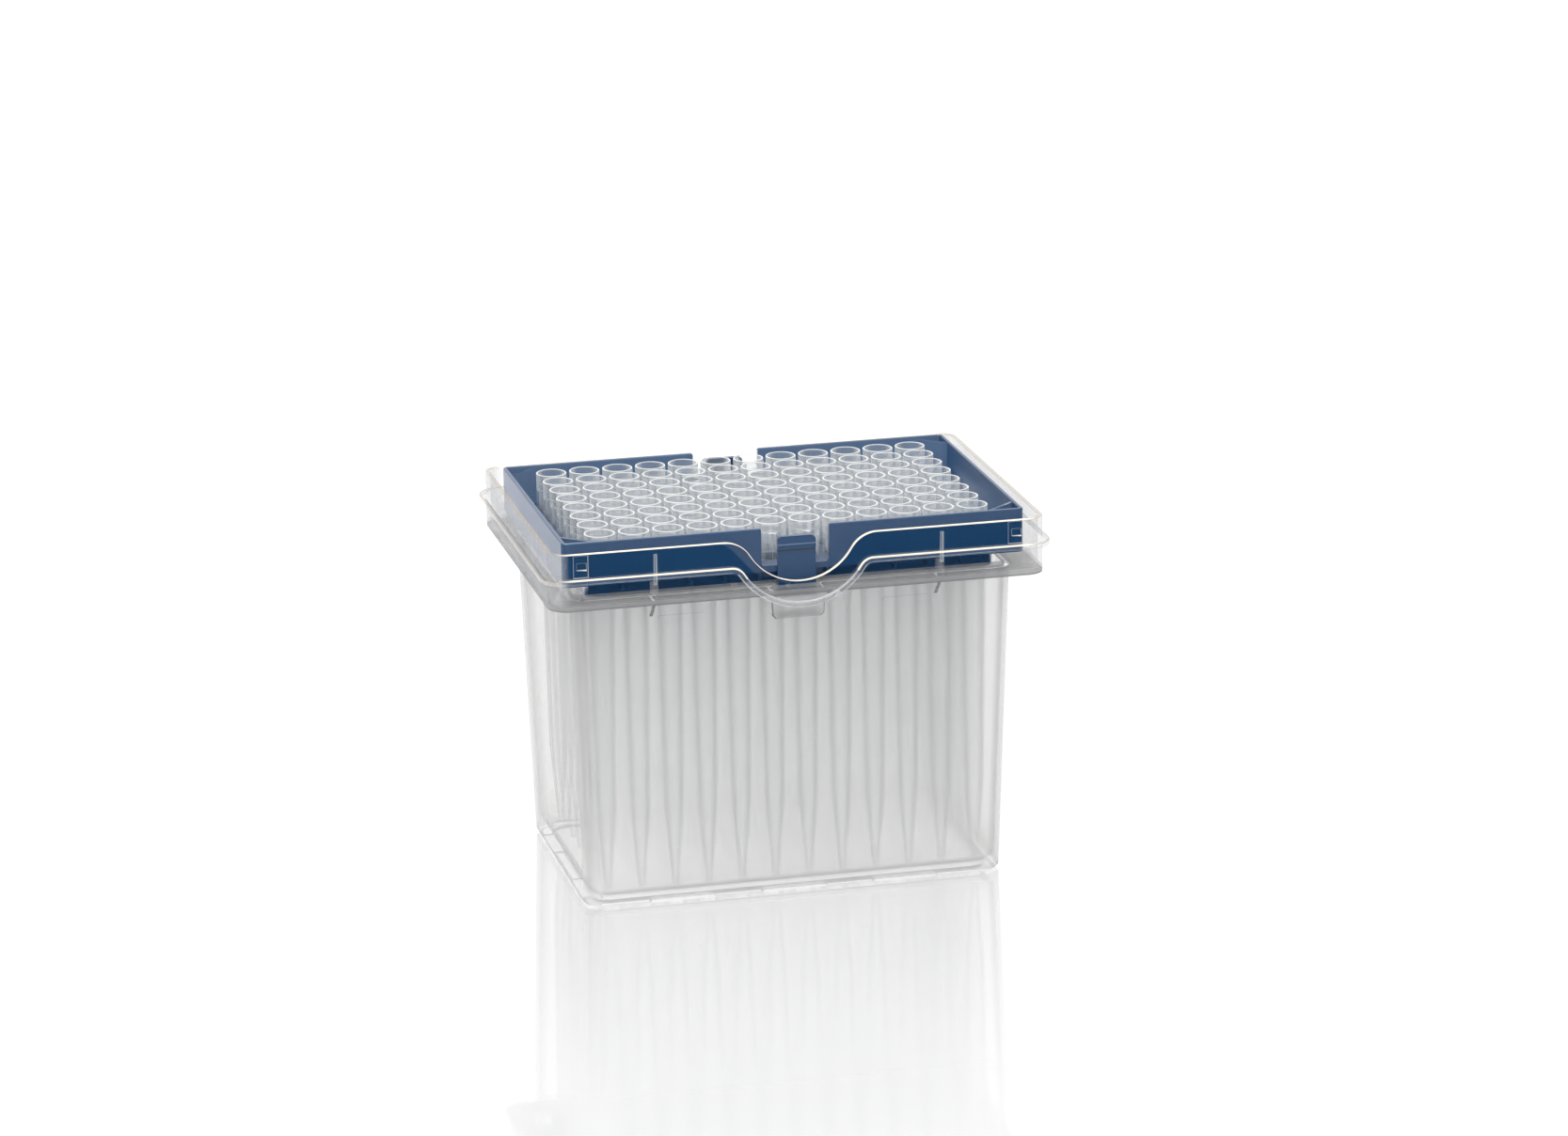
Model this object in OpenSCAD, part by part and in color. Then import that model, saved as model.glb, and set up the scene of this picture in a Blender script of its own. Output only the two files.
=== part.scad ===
// Pipette tip box: a clear base box, a snap-in coloured tray and a full grid of clear tips.
// Millimetres, +Z up. The origin is at the middle of the footprint, on the table.
// X runs along the long side of the grid; the front face looks along -Y.

/* [Tip grid] */
// Number of tip columns, along X
columns = 12; // [4:1:12]
// Number of tip rows, along Y
rows = 8; // [4:2:8]
// Distance between neighbouring tip axes
pitch = 9; // [8.8:0.1:12]

/* [Tip] */
// Overall length of a tip, rim to orifice
tip_length = 96.7; // [60:0.1:120]
// Outside diameter of the head ring
head_diameter = 8.16; // [7.6:0.02:8.5]
// Height of the head ring
head_height = 4.7; // [3:0.1:8]
// Diameter of the socket at the mouth
socket_diameter = 7.24; // [6.4:0.02:7.5]
// Depth of the cylindrical mouth of the socket
socket_depth = 2.3; // [1.5:0.1:4]
// Width of the step below the mouth, which seals on the pipette cone
seal_step = 0.22; // [0.1:0.02:0.4]
// Number of support fins under the head, an even number
fin_count = 8; // [4:2:12]
// Length of the support fins
fin_length = 5.1; // [3:0.1:8]
// Thickness of one fin
fin_thickness = 0.6; // [0.4:0.1:1]
// How far the tips of the fins stay inside the head ring
fin_setback = 0.06; // [0:0.01:0.2]
// Barrel diameter where it passes through the deck
barrel_diameter = 6.66; // [5.5:0.02:7]
// Barrel diameter at the shoulder
shoulder_diameter = 4.88; // [3.5:0.02:6]
// Height of the steep cone, shoulder to orifice
cone_height = 20.3; // [10:0.1:40]
// Bore at the orifice
orifice_bore = 0.8; // [0.5:0.05:1.5]
// Wall thickness of the barrel
tip_wall = 0.55; // [0.4:0.05:0.7]
// Wall thickness at the orifice
orifice_wall = 0.35; // [0.2:0.05:0.5]

/* [Tray] */
// Thickness of the perforated deck
deck_thickness = 1.6; // [1.2:0.1:3]
// Height of the raised wall above the deck
tray_wall_height = 10; // [6:0.5:14]
// Thickness of the raised wall
tray_wall = 1.15; // [0.9:0.05:2]
// Distance from the last column's axis to the outer face of the tray
tray_end_margin = 11.6; // [11:0.1:14]
// Distance from the last row's axis to the outer face of the tray
tray_side_margin = 8.9; // [8.8:0.1:12]
// Corner radius of the tray, in plan
tray_corner = 1.6; // [1.3:0.1:3]
// Size of the bevel along the top of the wall
top_bevel = 0.3; // [0.1:0.05:0.5]
// Radial play of a barrel in its hole
hole_play = 0.2; // [0.1:0.05:0.4]
// Width of the gap in the front and rear walls
gap_width = 18; // [14:0.5:24]
// Radius in the corners of the gap
gap_radius = 1; // [0.5:0.1:2]
// Reach of the corner webs along the end walls
web_end_reach = 8.2; // [5:0.1:9]
// Reach of the corner webs along the side walls
web_side_reach = 9.4; // [5:0.1:11]
// Thickness of webs and ribs
rib = 0.9; // [0.7:0.05:1.2]
// Depth of the skirt below the deck
skirt_drop = 4.4; // [3.5:0.1:8]
// Distance from the last column's axis to the outer face of the skirt
skirt_end_margin = 4.7; // [4.4:0.1:6]
// Distance from the last row's axis to the outer face of the skirt
skirt_side_margin = 4.5; // [4.4:0.1:5.5]
// Thickness of the skirt
skirt_wall = 0.8; // [0.6:0.05:0.8]
// Depth of the stiffening ribs below the deck
grid_rib_depth = 2.6; // [1:0.1:3]

/* [Snap tabs] */
// Width of a tab
tab_width = 10; // [7:0.5:11]
// Thickness of a tab
tab_thickness = 1.3; // [1:0.1:1.6]
// Height of a tab above the deck
tab_height = 7.8; // [5:0.1:9]
// Height of the thick grip band at the head of a tab
grip_height = 3.4; // [2:0.1:5]
// How far the grip band stands out from the tab
grip_relief = 0.4; // [0.2:0.1:0.8]
// Distance from a tab, inward, to the lip that its barb catches
lip_inset = 1.35; // [1.1:0.05:1.7]
// How far the barb reaches under the ledge
barb_bite = 0.35; // [0.2:0.05:0.5]
// Height of the barb
barb_height = 1.5; // [1:0.1:2]
// Play round the tab and the barb
snap_play = 0.3; // [0.2:0.05:0.5]

/* [Base] */
// Wall thickness of the deep body
body_wall = 1.3; // [1:0.1:2]
// Draft of the deep body, outward per millimetre of height
body_draft = 0.031; // [0.01:0.001:0.04]
// Corner radius of the deep body at the ledge
body_corner = 4.6; // [3.8:0.1:8]
// Play between the skirt and the mouth of the body, at the ends
mouth_end_play = 3.4; // [0.5:0.1:5]
// Play between the skirt and the mouth of the body, at the sides
mouth_side_play = 0.5; // [0.3:0.1:1.5]
// Thickness of the floor
floor_thickness = 1.4; // [1:0.1:2.5]
// Height of the foot pads
foot_height = 0.8; // [0.5:0.1:1.5]
// Width of the foot rim round the underside
foot_rim = 3.6; // [2.5:0.1:6]
// Length of the gaps between the front and rear foot pads
foot_gap = 17; // [10:0.5:20]
// Distance from the middle to the outer gaps, front and rear
foot_gap_place = 30; // [26:0.5:36]
// Length of the gaps between the foot pads at the ends
end_foot_gap = 15; // [8:0.5:18]
// Distance from the middle to the gaps at the ends
end_foot_gap_place = 19; // [12:0.5:22]
// Clearance between the ends of the tips and the floor
tip_clearance = 1.4; // [0.8:0.1:5]
// Height of the seats that carry the tray above the ledge
seat_height = 3.3; // [2.5:0.1:5]
// Thickness of the ledge
ledge_thickness = 1.4; // [1.2:0.1:2]

/* [Collar] */
// Height of the collar above the ledge
collar_height = 13.6; // [11:0.1:18]
// Wall thickness of the collar
collar_wall = 1.2; // [1:0.1:1.8]
// Space between the tray and the collar, at the ends
collar_end_gap = 3.1; // [2.5:0.1:5]
// Space between the tray and the collar, at the sides
collar_side_gap = 5; // [3.5:0.1:6]
// Corner radius of the collar, in plan
collar_corner = 5; // [3:0.1:6]
// Distance from the rim down to the flange that carries a lid
flange_drop = 6.2; // [5:0.1:8]
// Thickness of the flange
flange_thickness = 1.6; // [1:0.1:2]
// How far the flange stands out from the collar
flange_reach = 1.9; // [1.2:0.1:3]
// Depth of the finger notch in the rim
notch_depth = 11.5; // [8:0.1:12]
// Radius at the bottom of the notch
notch_low_radius = 15.5; // [13:0.5:18]
// Radius at the shoulders of the notch
notch_high_radius = 8; // [5:0.5:10]
// Depth of the dip in the flange
dip_depth = 10.3; // [7:0.1:11]
// Radius at the bottom of the dip
dip_low_radius = 18; // [16:0.5:20]
// Radius at the shoulders of the dip
dip_high_radius = 4; // [3:0.5:6]
// Distance from the middle to the upright ribs, front and rear
upright_place = 37.8; // [24:0.1:42]
// Distance from the middle to the upright ribs at the ends
end_upright_place = 20.2; // [12:0.1:28]
// Depth of the gussets below the ledge
gusset_drop = 5.4; // [3:0.1:8]
// Height of the latch pockets below the ledge
pocket_height = 7.5; // [5:0.1:9]
// Half width of a latch pocket
pocket_half_width = 7.3; // [6.6:0.1:8]
// Wall thickness of a latch pocket
pocket_wall = 0.8; // [0.6:0.05:1.2]
// Distance from the middle to the guide ribs behind a snap tab
guide_place = 3.2; // [2:0.1:4.5]
// Distance from the end of the collar's straight wall to a lid catch
catch_inset = 3.1; // [2.5:0.1:8]
// Depth of a lid catch in the outer face of the collar
catch_depth = 0.45; // [0.2:0.05:0.6]
// Distance from the middle to the stacking pads on the deep body
pad_place = 29.8; // [20:0.1:34]
// Length of a stacking pad
pad_length = 12.5; // [8:0.5:16]
// Distance from the middle to the low stops on the ledge
stop_place = 16.4; // [14:0.1:20]

/* [Hidden] */
$fn = 48;
eps = 0.01;

// overlap of a rib, pad or web with the wall it grows from
root = 0.4;

// heights, from the table up
floor_top = foot_height + floor_thickness;
tip_bottom = floor_top + tip_clearance;
tip_top = tip_bottom + tip_length;
deck_top = tip_top - head_height - fin_length;
deck_bottom = deck_top - deck_thickness;
tray_top = deck_top + tray_wall_height;
ledge_top = deck_bottom - seat_height;
ledge_bottom = ledge_top - ledge_thickness;
rim = ledge_top + collar_height;
flange_top = rim - flange_drop;

// half sizes in plan
grid_x = (columns - 1) * pitch / 2;
grid_y = (rows - 1) * pitch / 2;
tray_x = grid_x + tray_end_margin;
tray_y = grid_y + tray_side_margin;
skirt_x = grid_x + skirt_end_margin;
skirt_y = grid_y + skirt_side_margin;
mouth_x = skirt_x + mouth_end_play;
mouth_y = skirt_y + mouth_side_play;
body_x = mouth_x + body_wall;
body_y = mouth_y + body_wall;
well_x = tray_x + collar_end_gap;
well_y = tray_y + collar_side_gap;
collar_x = well_x + collar_wall;
collar_y = well_y + collar_wall;
hole_radius = barrel_diameter / 2 + hole_play;

// snap tab, measured outward from the middle
tab_inner = tray_y - eps;
tab_outer = tab_inner + tab_thickness;
lip = tab_inner - lip_inset;
pocket_outer = tab_outer + snap_play;

row_names = "abcdefgh";
half_rows = rows / 2;

function column_name(c) = str(c < 10 ? "0" : "", c);
function tip_node(c, h) =
    str("tips_", row_names[h * half_rows], "_to_", row_names[(h + 1) * half_rows - 1],
        "_column_", column_name(c));

// ---------- shared shapes ----------

// Rounded rectangle from its half sizes.
module plate(x, y, r) {
    square([2 * x - 2 * r, 2 * y], center = true);
    square([2 * x, 2 * y - 2 * r], center = true);
    for (sx = [-1, 1], sy = [-1, 1])
        translate([sx * (x - r), sy * (y - r)])
            circle(r);
}

// The same outline as a ring of points, for the stations of a hull.
function outline_points(x, y, r) =
    let (steps = 8)
    [for (quarter = [0:3], i = [0:steps])
        let (
            a = 90 * (quarter + i / steps),
            sx = quarter == 0 || quarter == 3 ? 1 : -1,
            sy = quarter < 2 ? 1 : -1
        )
        [sx * (x - r) + r * cos(a), sy * (y - r) + r * sin(a)]];

// Thin plate at height z, a station for a drafted shell.
module station(z, x, y, r) {
    translate([0, 0, z])
        linear_extrude(eps)
            polygon(outline_points(x, y, r));
}

// Ring between two rounded rectangles.
module ring(x, y, r, wall) {
    difference() {
        plate(x, y, r);
        plate(x - wall, y - wall, max(r - wall, 0.3));
    }
}

// Copies its children to the front and, mirrored, to the rear.
module front_and_rear() {
    children();
    mirror([0, 1, 0])
        children();
}

// Copies its children to the left and the right.
module left_and_right() {
    children();
    mirror([1, 0, 0])
        children();
}

// Stands an XY outline up in the XZ plane, filling from y = -outer to y = -inner.
module upright(inner, outer) {
    translate([0, -inner, 0])
        rotate([90, 0, 0])
            linear_extrude(outer - inner)
                children();
}

// Half width of a dip where it runs out into the straight edge.
function dip_reach(depth, low, high) = sqrt(pow(low + high, 2) - pow(low + high - depth, 2));

// Smooth S-sided dip below a straight edge at height top, from left to right: a shoulder arc,
// the bottom arc and the other shoulder arc, each tangent to the next. Growing low and
// shrinking high by the same amount offsets the line.
function dip_line(top, depth, low, high) =
    let (
        reach = dip_reach(depth, low, high),
        turn = acos((low + high - depth) / (low + high)),
        steps = 12
    )
    concat(
        [for (i = [0:steps]) let (a = turn * i / steps)
            [high * sin(a) - reach, top - high + high * cos(a)]],
        [for (i = [1:2 * steps - 1]) let (a = turn * (i / steps - 1))
            [low * sin(a), top - depth + low - low * cos(a)]],
        [for (i = [steps:-1:0]) let (a = turn * i / steps)
            [reach - high * sin(a), top - high + high * cos(a)]]
    );

function reversed(points) = [for (i = [len(points) - 1:-1:0]) points[i]];

// Space above a dip, up to the given headroom over its straight edge.
module dip(top, depth, low, high, headroom) {
    reach = dip_reach(depth, low, high);
    polygon(concat(
        dip_line(top, depth, low, high),
        [[reach, top + headroom], [-reach, top + headroom]]
    ));
}

// ---------- base box ----------

// Half size of the deep body at height z, from its half size at the ledge.
function drafted(half, z) = half - body_draft * (ledge_top - z);

module body_shell() {
    edge = 1.2;
    difference() {
        hull() {
            station(0, drafted(body_x, 0) - edge, drafted(body_y, 0) - edge, body_corner - edge);
            station(edge, drafted(body_x, edge), drafted(body_y, edge), body_corner);
            station(ledge_top - eps, body_x, body_y, body_corner);
        }
        body_space();
        translate([0, 0, -1])
            linear_extrude(1 + foot_height)
                plate(drafted(body_x, 0) - foot_rim, drafted(body_y, 0) - foot_rim, body_corner);
        foot_reliefs();
    }
}

// Inside of the deep body: a drafted tub with a coved foot.
module body_space() {
    cove = 2.4;
    r = body_corner - body_wall;
    hull() {
        station(floor_top, drafted(mouth_x, floor_top) - cove,
            drafted(mouth_y, floor_top) - cove, r);
        station(floor_top + cove, drafted(mouth_x, floor_top + cove),
            drafted(mouth_y, floor_top + cove), r);
        station(ledge_top + 1, mouth_x + body_draft, mouth_y + body_draft, r);
    }
}

// Shallow gaps that split the rim of the underside into foot pads.
module foot_reliefs() {
    relief = 0.5;
    front_and_rear()
        for (x = [-foot_gap_place, 0, foot_gap_place])
            translate([x - foot_gap / 2, -body_y - 1, -1])
                cube([foot_gap, foot_rim + 4, 1 + relief]);
    left_and_right()
        for (y = [-end_foot_gap_place, end_foot_gap_place])
            translate([-body_x - 1, y - end_foot_gap / 2, -1])
                cube([foot_rim + 4, end_foot_gap, 1 + relief]);
}

// Ledge, collar and the flange that a lid would sit on.
module collar() {
    difference() {
        union() {
            translate([0, 0, ledge_bottom])
                linear_extrude(ledge_thickness)
                    plate(collar_x, collar_y, collar_corner);
            translate([0, 0, ledge_bottom])
                linear_extrude(rim - ledge_bottom)
                    ring(collar_x, collar_y, collar_corner, collar_wall);
        }
        body_space();
        front_and_rear()
            upright(well_y - 2, collar_y + 2)
                dip(rim, notch_depth, notch_low_radius, notch_high_radius, 5);
    }
    flange();
}

// Flange round the collar. At the front and rear it dips along the finger notch, and the
// collar wall follows it down below the ledge.
module flange() {
    reach = dip_reach(dip_depth, dip_low_radius, dip_high_radius);
    low = flange_top - flange_thickness;
    difference() {
        translate([0, 0, low])
            linear_extrude(flange_thickness)
                ring(collar_x + flange_reach, collar_y + flange_reach,
                    collar_corner + flange_reach, collar_wall / 2 + flange_reach);
        front_and_rear()
            translate([-reach, -collar_y - 5, low - 1])
                cube([2 * reach, 10, flange_thickness + 2]);
    }
    front_and_rear() {
        upright(well_y + eps, collar_y + flange_reach)
            flange_dip();
        upright(well_y + eps, collar_y)
            tongue(reach);
    }
}

// Outline of the flange along the dip, one thickness measured square to its curve.
module flange_dip() {
    t = flange_thickness;
    polygon(concat(
        dip_line(flange_top - t, dip_depth, dip_low_radius + t, dip_high_radius - t),
        reversed(dip_line(flange_top, dip_depth, dip_low_radius, dip_high_radius))
    ));
}

// Part of the collar wall that hangs below the ledge to meet the flange.
module tongue(reach) {
    t = flange_thickness;
    intersection() {
        dip(flange_top - t, dip_depth, dip_low_radius + t, dip_high_radius - t, t);
        translate([-reach, ledge_bottom - dip_depth])
            square([2 * reach, dip_depth + ledge_thickness / 2]);
    }
}

// Upright rib inside the collar with a low web that carries the wall of the tray, and a
// tapered gusset under the ledge. Built for the front, at a place along it; well, tray and
// body are the distances from the middle to the collar, the tray and the deep body.
module tray_seat(place, well, tray, body) {
    relief = 1.1;
    headroom = 1.9;
    web_inner = tray - tray_wall;
    toe = 0.6;
    reach = 0.62 * (well - body);
    translate([place - rib / 2, -well - root, ledge_top - root])
        cube([rib, root + relief, rim - headroom - ledge_top + root]);
    translate([place - rib / 2, -well - root, ledge_top - root])
        cube([rib, well + root - web_inner, deck_bottom - ledge_top + root]);
    translate([place + rib / 2, 0, 0])
        rotate([90, 0, -90])
            linear_extrude(rib)
                polygon([
                    [body - toe, ledge_bottom + root], [body + reach, ledge_bottom + root],
                    [body + reach, ledge_bottom - toe], [body, ledge_bottom - gusset_drop],
                    [body - toe, ledge_bottom - gusset_drop]
                ]);
}

// Tapered post in each corner of the well, which centres the tray.
module corner_posts() {
    height = 4.6;
    foot = 2.2;
    head = 0.7;
    x = tray_x + 0.3;
    y = tray_y + 1.6;
    for (sx = [-1, 1], sy = [-1, 1])
        translate([sx * x, sy * y, ledge_top - root])
            cylinder(h = root + height, r1 = foot, r2 = head, $fn = 32);
}

// Pocket below the ledge that shields the barb of a snap tab.
module latch_pocket() {
    low = ledge_bottom - pocket_height;
    upright(drafted(body_y, low) - root, pocket_outer + pocket_wall)
        pocket_outline(pocket_half_width, low, ledge_bottom + root);
}

// Inside of the pocket and the slot through the ledge. The slot leaves a lip for the barb.
module latch_space() {
    slot_play = 1;
    backing = 0.35;
    upright(body_y + backing, pocket_outer)
        pocket_outline(pocket_half_width - pocket_wall,
            ledge_bottom - pocket_height + pocket_wall, ledge_bottom);
    translate([-tab_width / 2 - slot_play, -pocket_outer, ledge_bottom - 1])
        cube([tab_width + 2 * slot_play, pocket_outer - lip, ledge_thickness + 2]);
}

// Outline of the pocket: sides that lean in a little and cut lower corners.
module pocket_outline(half, low, high) {
    lean = 0.4;
    corner = 0.9;
    polygon([
        [-half, high], [half, high], [half - lean, low + corner],
        [half - lean - corner, low], [-half + lean + corner, low], [-half + lean, low + corner]
    ]);
}

// Guide ribs on the inner face of the collar, behind a snap tab, up to the finger notch.
module tab_guides() {
    relief = 0.8;
    headroom = 0.6;
    for (s = [-1, 1])
        translate([s * guide_place - rib / 2, -well_y - root, ledge_top - root])
            cube([rib, root + relief, collar_height - notch_depth - headroom + root]);
}

// Places its children at the lid catches, one near each end of the collar's straight wall.
module at_lid_catches() {
    for (s = [-1, 1])
        translate([s * (collar_x - collar_corner - catch_inset), 0, 0])
            children();
}

// Small recess in the outer face of the collar that a catch of the lid snaps into.
module lid_catch() {
    width = 2.6;
    height = 1.9;
    drop = 4.25;
    translate([-width / 2, -collar_y - 1, rim - drop])
        cube([width, 1 + catch_depth, height]);
}

// Pad that keeps the wall thick behind a lid catch.
module lid_catch_pad() {
    width = 4;
    relief = 0.2;
    headroom = 0.6;
    translate([-width / 2, -well_y - root, flange_top - root])
        cube([width, root + relief, rim - headroom - flange_top + root]);
}

// Low stops on the ledge, beside the pockets and near the corners of the tray.
module ledge_stops() {
    size = [1.2, 2.2, root + 0.9];
    stops = [[stop_place, 1.4], [tray_x - 5, 0.6]];
    for (s = [-1, 1], stop = stops)
        translate([s * stop[0] - size[0] / 2, -tray_y - stop[1], ledge_top - root])
            cube(size);
}

// Low pads with rounded ends on the deep body, which a stacked box rests against.
module stacking_pads() {
    relief = 0.35;
    height = 1.6;
    low = ledge_bottom - 7;
    for (s = [-1, 1])
        upright(drafted(body_y, low) - root, drafted(body_y, low) + relief)
            translate([s * pad_place, low + height / 2])
                plate(pad_length / 2, height / 2, height / 2 - eps, $fn = 32);
}

module base_box() {
    color("whitesmoke", 0.5)
        difference() {
            union() {
                body_shell();
                collar();
                corner_posts();
                front_and_rear() {
                    latch_pocket();
                    tab_guides();
                    at_lid_catches()
                        lid_catch_pad();
                    ledge_stops();
                    stacking_pads();
                    for (s = [-1, 1])
                        tray_seat(s * upright_place, well_y, tray_y, body_y);
                }
                for (turn = [-90, 90], s = [-1, 1])
                    rotate([0, 0, turn])
                        tray_seat(s * end_upright_place, well_x, tray_x, body_x);
            }
            front_and_rear() {
                latch_space();
                at_lid_catches()
                    lid_catch();
            }
        }
}

// ---------- tip tray ----------

// Raised wall with bevelled top edges, open at the finger gaps.
module tray_walls() {
    r = max(tray_corner, tray_wall + 0.3);
    difference() {
        union() {
            front_and_rear()
                rotate([90, 0, 90])
                    translate([0, 0, r - tray_x])
                        linear_extrude(2 * (tray_x - r))
                            wall_profile(tray_y);
            left_and_right()
                rotate([90, 0, 180])
                    translate([0, 0, r - tray_y])
                        linear_extrude(2 * (tray_y - r))
                            wall_profile(tray_x);
            left_and_right()
                front_and_rear()
                    translate([tray_x - r, tray_y - r, 0])
                        rotate_extrude(angle = 90)
                            wall_profile(r);
        }
        front_and_rear()
            upright(tray_y - tray_wall - 1, tray_y + 1)
                gap_outline();
    }
}

// Cross-section of the wall, with its outer face at the given distance.
module wall_profile(outer) {
    inner = outer - tray_wall;
    bevel = top_bevel;
    polygon([
        [inner, deck_bottom], [outer, deck_bottom], [outer, tray_top - bevel],
        [outer - bevel, tray_top], [inner + bevel, tray_top], [inner, tray_top - bevel]
    ]);
}

// Gap in the wall: rounded at the sill and relieved at the top corners.
module gap_outline() {
    half = gap_width / 2;
    ease = 0.6;
    translate([-half, deck_top + gap_radius])
        square([gap_width, tray_wall_height + 2]);
    translate([-half + gap_radius, deck_top])
        square([gap_width - 2 * gap_radius, tray_wall_height]);
    for (s = [-1, 1])
        translate([s * (half - gap_radius), deck_top + gap_radius])
            circle(gap_radius);
    for (s = [-1, 1])
        difference() {
            translate([s * half - ease, tray_top - ease])
                square([2 * ease, 2 * ease]);
            translate([s * (half + ease), tray_top - ease])
                circle(ease);
        }
}

// Diagonal web across each corner.
module corner_webs() {
    x = tray_x - tray_wall;
    y = tray_y - tray_wall;
    slant = 1.4 * rib;
    headroom = 0.35;
    for (sx = [-1, 1], sy = [-1, 1])
        scale([sx, sy, 1])
            translate([0, 0, deck_top - eps])
                linear_extrude(tray_wall_height - headroom)
                    polygon([
                        [x + root, y - web_end_reach], [x + root, y - web_end_reach + slant],
                        [x - web_side_reach + slant, y + root], [x - web_side_reach, y + root]
                    ]);
}

// Skirt that centres the tray in the mouth of the body, with buttresses at every gap between
// columns and rows.
module skirt() {
    side_reach = 2.2;
    end_reach = 2.6;
    drop = 2.4;
    translate([0, 0, deck_bottom - skirt_drop])
        linear_extrude(skirt_drop + eps)
            ring(skirt_x, skirt_y, 3, skirt_wall);
    front_and_rear()
        for (c = [1:columns - 1])
            translate([(c - columns / 2) * pitch - rib / 2, -skirt_y - side_reach, deck_bottom - drop])
                cube([rib, side_reach + root, drop + eps]);
    left_and_right()
        for (r = [1:rows - 1])
            translate([-skirt_x - end_reach, (r - rows / 2) * pitch - rib / 2, deck_bottom - drop])
                cube([end_reach + root, rib, drop + eps]);
}

// Egg-crate ribs between the holes, under the deck.
module grid_ribs() {
    low = deck_bottom - grid_rib_depth;
    for (c = [1:columns - 1])
        translate([(c - columns / 2) * pitch - rib / 2, -skirt_y + root, low])
            cube([rib, 2 * (skirt_y - root), grid_rib_depth + eps]);
    for (r = [1:rows - 1])
        translate([-skirt_x + root, (r - rows / 2) * pitch - rib / 2, low])
            cube([2 * (skirt_x - root), rib, grid_rib_depth + eps]);
}

// Snap tab: squeezed at the grip band, it turns about the sill and draws its barb outward.
module snap_tab() {
    barb_play = 0.2;
    ease = 0.35;
    ridge = 0.22;
    ridge_height = 1.2;
    low = ledge_bottom - barb_play - barb_height;
    top = deck_top + tab_height;
    difference() {
        upright(tab_inner, tab_outer)
            tab_outline(low, top);
        translate([-tab_width, -tab_outer - 1, top - ease])
            rotate([45, 0, 0])
                cube([2 * tab_width, 1, 1]);
    }
    upright(tab_outer - root, tab_outer + grip_relief)
        intersection() {
            tab_outline(low, top - ease + 0.1);
            translate([-tab_width, top - grip_height])
                square([2 * tab_width, grip_height]);
        }
    translate([-tab_width / 2, -tab_outer - grip_relief, top - grip_height + ridge_height])
        rotate([0, 90, 0])
            cylinder(h = tab_width, r = ridge, $fn = 24);
    translate([-tab_width / 2, -lip, low])
        rotate([90, 0, 90])
            linear_extrude(tab_width)
                polygon([
                    [lip - tab_inner - root, 0], [lip - tab_inner, 0], [barb_bite, barb_height - 0.5],
                    [barb_bite, barb_height], [lip - tab_inner - root, barb_height]
                ]);
}

module tab_outline(low, top) {
    half = tab_width / 2;
    r = 1.2;
    translate([-half, low])
        square([tab_width, top - low - r]);
    translate([-half + r, low])
        square([tab_width - 2 * r, top - low]);
    for (s = [-1, 1])
        translate([s * (half - r), top - r])
            circle(r);
}

module tip_tray() {
    color("#46597a")
        difference() {
            union() {
                translate([0, 0, deck_bottom])
                    linear_extrude(deck_thickness)
                        plate(tray_x - root, tray_y - root, tray_corner);
                tray_walls();
                corner_webs();
                skirt();
                grid_ribs();
                front_and_rear()
                    snap_tab();
            }
            for (c = [1:columns], r = [1:rows])
                translate([tip_x(c), tip_y(r), deck_bottom - skirt_drop - 1])
                    cylinder(h = deck_thickness + skirt_drop + 2, r = hole_radius);
        }
}

// ---------- tips ----------

function tip_x(c) = (c - (columns + 1) / 2) * pitch;
function tip_y(r) = ((rows + 1) / 2 - r) * pitch;

// One tip on the Z axis: head ring, support fins, tapered barrel and steep cone.
module tip() {
    fin_bottom = tip_length - head_height - fin_length;
    head_bottom = fin_bottom + fin_length;
    fin_reach = head_diameter / 2 - fin_setback;
    barrel_top = barrel_diameter / 2 + 0.12;
    difference() {
        union() {
            rotate_extrude()
                polygon([
                    [0, 0], [orifice_bore / 2 + orifice_wall, 0],
                    [shoulder_diameter / 2, cone_height],
                    [barrel_diameter / 2, fin_bottom], [barrel_top, head_bottom],
                    [head_diameter / 2, head_bottom], [head_diameter / 2, tip_length], [0, tip_length]
                ]);
            translate([0, 0, fin_bottom])
                linear_extrude(fin_length + eps)
                    for (f = [0:fin_count / 2 - 1])
                        rotate(f * 360 / fin_count)
                            square([2 * fin_reach, fin_thickness], center = true);
        }
        tip_bore();
    }
}

module tip_bore() {
    mouth = socket_diameter / 2;
    neck = mouth - seal_step;
    rotate_extrude()
        polygon([
            [0, -1], [orifice_bore / 2, -1], [orifice_bore / 2, 0],
            [shoulder_diameter / 2 - tip_wall, cone_height],
            [barrel_diameter / 2 - tip_wall, tip_length - head_height - fin_length - 2],
            [neck, tip_length - socket_depth - 0.6], [neck, tip_length - socket_depth],
            [mouth, tip_length - socket_depth],
            [mouth, tip_length + 1], [0, tip_length + 1]
        ]);
}

// The four tips of one half column, which share a node.
module tip_group(c, h) {
    color("gainsboro", 0.6)
        for (r = [h * half_rows + 1:(h + 1) * half_rows])
            translate([tip_x(c), tip_y(r), tip_bottom])
                tip();
}

base_box();
tip_tray();
for (c = [1:columns], h = [0, 1])
    tip_group(c, h);
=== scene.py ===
import math

import bpy
from mathutils import Matrix, Vector


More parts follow.
